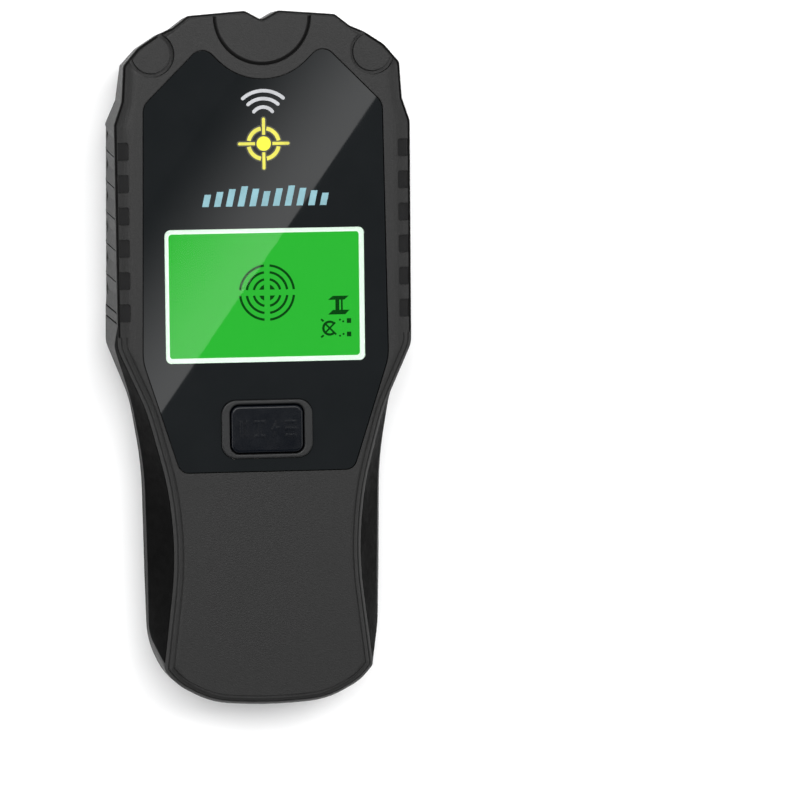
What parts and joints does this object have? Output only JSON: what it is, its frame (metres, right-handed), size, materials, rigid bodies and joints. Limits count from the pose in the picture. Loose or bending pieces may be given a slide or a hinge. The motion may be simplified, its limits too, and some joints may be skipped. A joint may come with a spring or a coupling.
{
  "type": "stud finder",
  "caption": "Handheld wall scanner with a notched sensing head, green backlit display behind a glossy lens, one mode button, rubber side grips and a sliding battery door.",
  "frame": {"origin": "middle of the flat rear face that is held against the wall, on Z = 0", "axes": "+Z out of the display face, +Y towards the notched sensing end, +X to the right of somebody reading the display"},
  "size_m": [0.0712, 0.1597, 0.0282],
  "materials": {
    "housing_abs": "fine moulded texture, dark grey ABS",
    "grip_rubber": "matt black overmoulded elastomer",
    "lens_black": "glossy back-printed acrylic",
    "tape": "thin adhesive tape",
    "clear_acrylic": "clear polished acrylic",
    "bezel_white": "white frame",
    "lcd_glass": "lit green display cell",
    "light_guide": "lit light guide",
    "contact_rubber": "elastomer contact strip",
    "ring_grey": "satin dark grey trim",
    "button_black": "gloss bluish black",
    "switch_plastic": "black switch body",
    "board_green": "solder mask over glass fibre",
    "chip_black": "moulded component package",
    "copper": "bare copper",
    "plated_metal": "nickel plated",
    "capacitor_can": "sleeved can",
    "battery_wrap": "printed steel case, plain",
    "lead_red": "insulated wire",
    "lead_black": "insulated wire",
    "foam": "soft foam",
    "screw_steel": "zinc plated"
  },
  "bodies": {
    "root": {"front_housing": "housing_abs", "rear_housing": "housing_abs", "right_grip": "grip_rubber", "left_grip": "grip_rubber", "display_lens": "lens_black", "lens_tape": "tape", "display_window": "clear_acrylic", "lcd_bezel": "bezel_white", "lcd_cell": "lcd_glass", "lcd_backlight": "light_guide", "zebra_strips": "contact_rubber", "button_surround": "ring_grey", "mode_switch": "switch_plastic", "main_board": "board_green", "microcontroller": "chip_black", "amplifier_chips": "chip_black", "crystal": "plated_metal", "voltage_regulator": "chip_black", "capacitors": "capacitor_can", "resistors": "chip_black", "buzzer": "chip_black", "sensor_board": "board_green", "sensor_plates": "copper", "search_coil": "copper", "header_block": "chip_black", "header_pins": "plated_metal", "battery": "battery_wrap", "battery_contacts": "plated_metal", "battery_snap": "chip_black", "red_lead": "lead_red", "black_lead": "lead_black", "battery_foam": "foam", "case_screws": "screw_steel", "main_board_screws": "screw_steel", "sensor_board_screws": "screw_steel"},
    "mode_button": {"mode_button": "button_black", "switch_plunger": "switch_plastic"},
    "battery_door": {"battery_door": "housing_abs"}
  },
  "joints": [
    {"name": "mode_press", "type": "slide", "parent": "root", "child": "mode_button", "axis": [0, 0, -1], "range_m": [0, 0.0006], "stiffness_N_per_m": 2500},
    {"name": "door_slide", "type": "slide", "parent": "root", "child": "battery_door", "axis": [0, -1, 0], "range_m": [0, 0.055]}
  ]
}
